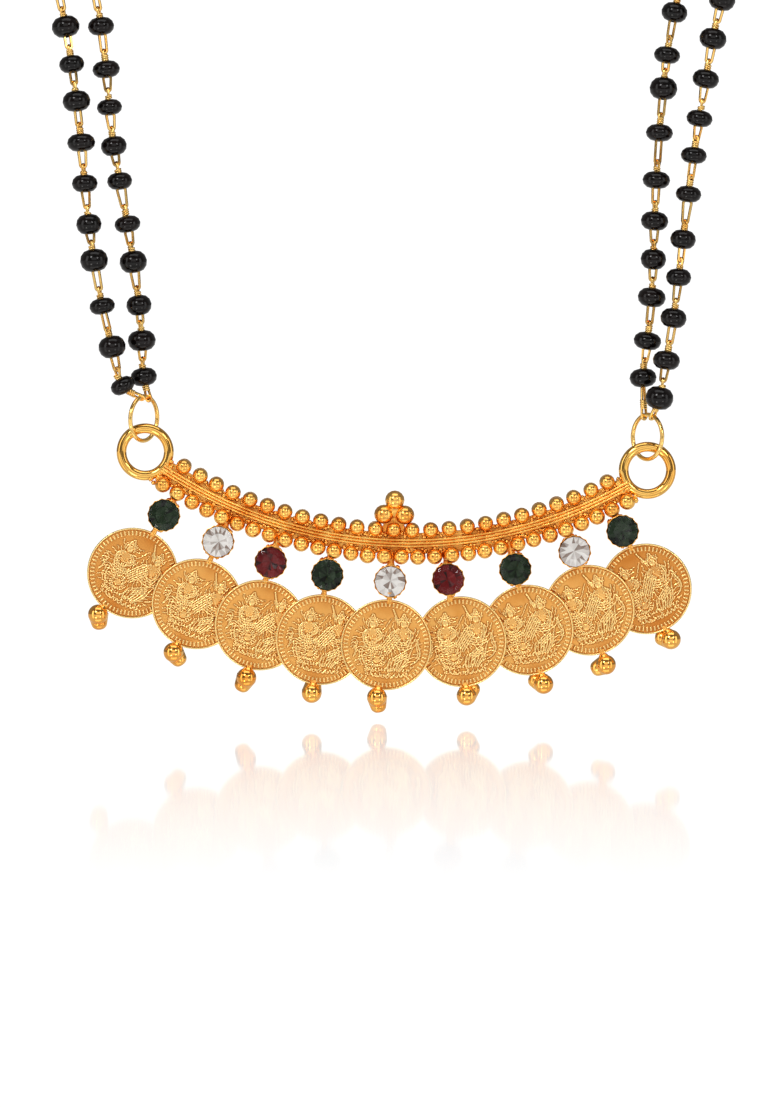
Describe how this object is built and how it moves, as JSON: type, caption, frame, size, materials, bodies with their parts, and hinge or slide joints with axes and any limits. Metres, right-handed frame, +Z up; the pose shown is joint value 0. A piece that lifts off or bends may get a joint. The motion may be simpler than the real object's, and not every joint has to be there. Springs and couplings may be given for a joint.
{
  "type": "temple necklace",
  "caption": "Double-string black bead necklace with a rigid curved gold bar pendant, coin drops, cut glass stones and granulation.",
  "frame": {"origin": "the point at the nape where the clasp's front face rests on the neck", "axes": "+Z up, the pendant hangs in front at -Y, +X to the viewer's right"},
  "size_m": [0.1144, 0.1115, 0.1315],
  "materials": {
    "gold": "gold plate, polished granules and balls, satin coins",
    "pale_gold": "polished pale gold plate",
    "black_glass": "glossy black glass",
    "green_glass": "cut and foiled, dark green",
    "clear_glass": "cut and foiled, clear",
    "ruby_glass": "cut and foiled, ruby red"
  },
  "bodies": {
    "necklace": {"left_jump_ring": "pale_gold", "right_jump_ring": "pale_gold", "left_outer_beads": "black_glass", "left_inner_beads": "black_glass", "right_inner_beads": "black_glass", "right_outer_beads": "black_glass", "left_outer_wire": "pale_gold", "left_inner_wire": "pale_gold", "right_inner_wire": "pale_gold", "right_outer_wire": "pale_gold", "clasp": "pale_gold"},
    "pendant": {"pendant": "gold", "stone_1": "green_glass", "stone_2": "clear_glass", "stone_3": "ruby_glass", "stone_4": "green_glass", "stone_5": "clear_glass", "stone_6": "ruby_glass", "stone_7": "green_glass", "stone_8": "clear_glass", "stone_9": "green_glass"}
  },
  "joints": [
    {"name": "pendant_swing", "type": "hinge", "parent": "necklace", "child": "pendant", "pos_m": [0, -0.105, -0.09902], "axis": [1, 0, 0], "range_deg": [-70, 70]}
  ]
}
